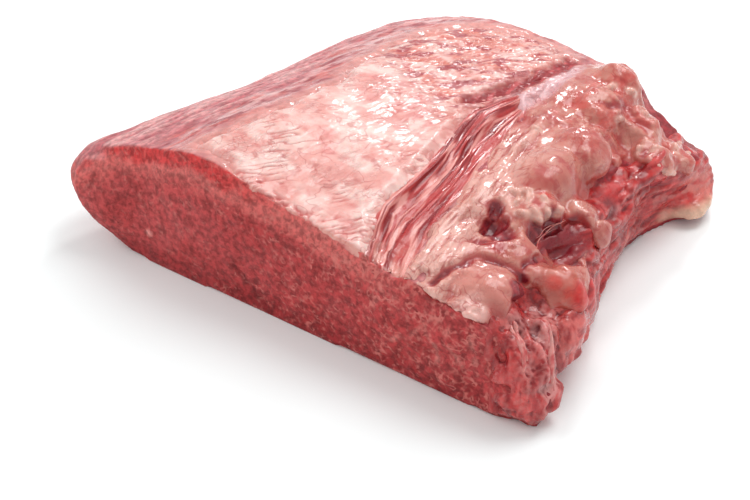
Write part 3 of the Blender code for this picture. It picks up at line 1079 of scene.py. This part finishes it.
tint = layered(
    mixed(tone(140, 14, 22), tone(190, 44, 44), smooth(-0.5, 0.5, grain)),
    (bright, 0.7 * smooth(0.0, 0.5, rough(places, 16, 3, 157))),
    ((206, 124, 118), 0.45 * smooth(0.35, 0.65, rough(places, (6, 9, 6), 4, 159))),
    (chunk, 0.75 * spot(places, (141, -76, 30), 24)),
    ((104, 22, 32), 0.8 * spot(places, (124, -98, 42), 9)),
    # Painted shade in the folds between the chunks
    ((84, 6, 14), 0.9 * smooth(0.3, 0.9, folds)),
    (bright, 0.85 * ends),
    ((208, 128, 122), 0.5 * marbled),
    # Painted shade in the hollows
    ((112, 10, 24), 0.85 * np.maximum(smooth(0.10, 0.5, low), smooth(0.3, 1.3, deep))),
    # Painted light on the bumps
    ((206, 112, 106), 0.22 * smooth(0.10, 0.5, -low)),
    ((112, 18, 34), 0.75 * spot(places, (112, -36, 52), 19)),
    ((214, 146, 142), 0.75 * pulled * smooth(-0.3, 0.8, fibres + grain)),
    ((208, 126, 120), 0.2 * corner * smooth(0.6, 1.0, fibres) * (1 - away)),
    (flap, 0.85 * spot(places, (132, 92, 18), 24)),
    ((228, 190, 164), 0.9 * near(places, FLAP_FAT, 9)),
    ((206, 130, 122), 0.6 * near(places + 2 * bumps(places, 8, 201)[:, None], SIDE_FAT, 6)),
    ((110, 24, 30), 0.8 * spot(places, (112, 12, 44), 9)),
    (cut_tint(places), away),
)
dye(torn, tint)
keep(torn, "gloss", 0.7 * (1 - away))
keep(torn, "marble", 0.16 + 0.5 * away)
keep(torn, "flecks", 0.8)
finish_piece(torn, beef_material(
    "torn_beef", spacing=4.2, grain=0.26, wrinkle=(2.6, 4, 10), wrinkle_mm=0.8, turn=0,
    dry=0.40, wet=0.12, shine=0.45, coat=0.5,
))


# Seam fat
# The thick soft fat of the seam, rolled over the right edge of the slab: long folds beside the
# strip, lumps and grains further back, and two smooth pillows over the near corner.


def along_seam(places):
    """Axes that follow the seam, and how much of it each place shares: its folds, its lumps."""
    x, y, z = places.T
    beside = x - np.interp(y, EDGE_Y, EDGE_X)
    folded = smooth(34, 16, beside) * smooth(30, 0, y)
    return np.stack([beside, y, z], 1), folded, smooth(0, 45, y) * smooth(8, 20, beside)


seam = patch_of("seam_fat", lambda p: (seam_depth(p) > -4) & (p[:, 2] > 14), levels=0)
places, normals = skin_of(seam)
depth = seam_depth(places)
lie, inner, lumpy = along_seam(places)
folds = 1 - 2 * np.abs(rough(lie, (9, 55, 18), 2, 61))
lumps = 2.4 * rough(places, 15, 2, 63) + 0.6 * rough(places, 6, 2, 64)
rise = -1.4 + 2.8 * smooth(-3, 6, depth) + inner * 1.5 * folds
rise += 0.8 * rough(places, 20, 2, 65) + lumpy * lumps
rise -= 2.5 * (1 - smooth(-3, 0, depth)) + hollow_depth(places)
move_to(seam, places + normals * rise[:, None])
lay_on_seam = surface(seam)
close_below(seam, depth=3)
# Where grains of fat lie
GRAINS = [
    (88, -40, 66), (95, -46, 66), (92, -35, 68), (100, -42, 68), (99, -33, 70), (88, -31, 68),
    (104, -44, 65), (83, -36, 68), (106, -38, 66), (108, -31, 66), (120, 65, 42), (117, 58, 48),
    (121, 71, 38), (118, 95, 40), (109, 99, 44), (113, 84, 44), (110, 65, 54), (103, 60, 56),
    (94, 82, 60), (78, 94, 64), (88, 66, 64), (70, 84, 68), (62, 20, 70), (119, -14, 50),
]
random = Random(11)


def grain_of_fat(centre):
    """A grain like a grain of rice, which lies on the fat at a random turn."""
    out = (lay_on_seam(Vector(centre), 1) - lay_on_seam(Vector(centre), 0)).normalized()
    aim = out.cross(Vector([random.gauss(0, 1) for _ in range(3)])).normalized() * random.uniform(2.2, 3.6)
    begin, end = lay_on_seam(Vector(centre) - aim, 0.5), lay_on_seam(Vector(centre) + aim, 0.9)
    radius, steps = random.uniform(1.5, 2.2), [k / 4 - 1 for k in range(9)]
    points = [begin.lerp(end, (step + 1) / 2) for step in steps]
    return points, [radius * math.sqrt(1.04 - step * step) for step in steps]


rice = [grain_of_fat(centre) for centre in GRAINS]
soft = [seam, make_bundles("fat_grains", rice, None, Unevenness=0.0006, Step=0.0007)]
for i, (centre, radii, turn) in enumerate((
    ((106, -96, 56), (18, 11, 8), 36), ((127, -60, 46), (12, 9, 10), 36), ((117, -70, 53), (7, 6, 5), 20),
    ((122, -12, 46), (5, 7, 8), 0), ((96, -73, 57), (9, 5, 4), 50), ((98, -30, 67), (4, 4, 4), 0),
)):
    soft.append(pillow("fold", centre, radii, turn, seed=161 + i))
seam = melted("seam_fat", soft, voxel_mm=0.85, rounds=2)
places, normals = skin_of(seam)
lie, inner, lumpy = along_seam(places)
pillows = np.maximum(spot(places, (107, -97, 53), 27), spot(places, (127, -60, 46), 18))
pillows = np.maximum(pillows, 0.7 * spot(places, (88, -14, 68), 30))
grains = np.max([near(places, [ends[0], ends[-1]], 3.6) for ends, _ in rice], axis=0)
wrinkles = 1 - 2 * np.abs(rough(lie, (3.0, 24, 6), 3, 67))
creased = 0.45 * wrinkles * inner + 0.25 * rough(places, (5, 8, 5), 3, 69) * (1 - inner)
rise = (1 - pillows) * creased + 0.15 * rough(places, 7, 2, 70)
rise = (rise + lumpy * 0.35 * rough(places, 4.5, 3, 71)) * (1 - grains)
rise += 0.9 * rough(places, 4, 2, 217) * spot(places, (106, -115, 53), 16)
hollow = hollow_depth(places)
move_to(seam, places + normals * rise[:, None])
# low: how far each point lies in a hollow, for the painted shade and painted light below
low = cavity_shading(seam, 5)
# Dark red for the deepest hollows and creases: partly the lean's own colour, partly painted shade
hollow_red_and_shade = mixed(tone(112, 14, 30), tone(160, 46, 54), smooth(-0.2, 0.6, rough(places, (8, 4, 8), 3, 207)))
tint = fat_tint(places, (196, 124, 110), (184, 94, 84), (172, 56, 54), 0.8, 171)
tint = layered(
    tint,
    ((224, 170, 158), 0.8 * inner * smooth(-0.2, 0.6, wrinkles)),
    ((232, 182, 170), 0.5 * inner * smooth(-40, -90, places[:, 1])),
    ((196, 74, 66), 0.75 * lumpy * smooth(0.0, 0.5, rough(places, 12, 3, 173))),
    ((206, 132, 120), 0.8 * spot(places, (105, -98, 54), 24)),
    ((186, 94, 80), 0.9 * spot(places, (129, -60, 46), 21)),
    ((196, 14, 20), 0.95 * spot(places, (142, -62, 46), 12)),
    ((200, 52, 42), 0.7 * spot(places, (129, -71, 55), 6)),
    ((196, 60, 50), 0.7 * spot(places, (140, -67, 45), 16) * smooth(-0.1, 0.3, rough(places, 6, 3, 209))),
    ((178, 64, 62), 0.5 * smooth(6, 0, seam_depth(places)) * (1 - inner)),
    # Painted shade in the hollows
    ((184, 72, 68), 0.6 * smooth(0.05, 0.40, low)),
    # Painted light on the bumps
    ((232, 182, 168), 0.25 * smooth(0.04, 0.3, -low) * (1 - pillows)),
    ((236, 192, 182), 0.7 * spot(places + 3 * bumps(places, 6, 203)[:, None], (108, -115, 54), 12)),
    ((222, 180, 184), 0.8 * near(places, GLOSSY, 10)),
    # Red in the hollows and creases, darker where they are deeper: partly the lean's own colour, partly
    # painted shade
    ((172, 58, 58), 0.8 * smooth(0.5, 1.8, hollow)),
    (hollow_red_and_shade, smooth(1.6, 3.0, hollow)),
    ((168, 40, 44), 0.9 * spot(places, (96, -73, 62), 8)),
    ((228, 180, 166), 0.85 * grains),
    ((206, 60, 54), 0.8 * spot(places, (98, -30, 70), 4.5)),
)
dye(seam, tint)
keep(seam, "gloss", 1 - 0.9 * spot(places, (142, -63, 46), 16))
keep(seam, "veins", 0.6)
seam_material = beef_material(
    "seam_fat", spacing=3.4, grain=0.08, wrinkle=(4, 13, 5), wrinkle_mm=0.9, turn=10,
    dry=0.42, wet=0.12, shine=0.5, coat=0.45, red=paint(168, 50, 50), depth_mm=2.5, through=0.25,
)
finish_piece(seam, seam_material)


# Strands
# Pale strands of connective tissue: thin ones cross the hollows between the folds of fat, and
# thicker ones, half sunk in the lean, hang down the torn corner, where the muscles were pulled.

lay_on_fat, lay_on_lean = surface(seam), surface(torn)
strand_lines = []
for start, end, number, spread, thick, lay in (
    ((110, -50, 60), (111, -30, 60), 3, 4.0, 0.3, lay_on_fat),
    ((118, -84, 52), (124, -98, 44), 2, 2.5, 0.35, lay_on_fat),
    ((132, -87, 43), (149, -104, 24), 3, 2.4, 1.8, lay_on_lean),
    ((126, -101, 47), (140, -112, 33), 2, 2.2, 1.5, lay_on_lean),
):
    for _ in range(number):
        shift = Vector([random.uniform(-spread, spread) for _ in range(3)])
        begin, finish = Vector(start) + shift * 0.6, Vector(end) + shift * 1.5
        radius = thick * random.uniform(0.7, 1.3)
        strand_lines.append(bundle(begin, finish, radius, 0.8, 0.15 - 0.35 * thick, lay))
strands = make_bundles("strands", strand_lines, seam_material, Sides=8, Unevenness=0.0004)
places = places_of(strands)
move_to(strands, places)
cloudy = smooth(-0.2, 0.4, rough(places, (3, 3, 8), 3, 193))
dye(strands, mixed(tone(214, 138, 132), tone(190, 72, 72), cloudy))
keep(strands, "gloss", 1.0)
finish_piece(strands, seam_material)

bpy.data.meshes.remove(skin_mesh)
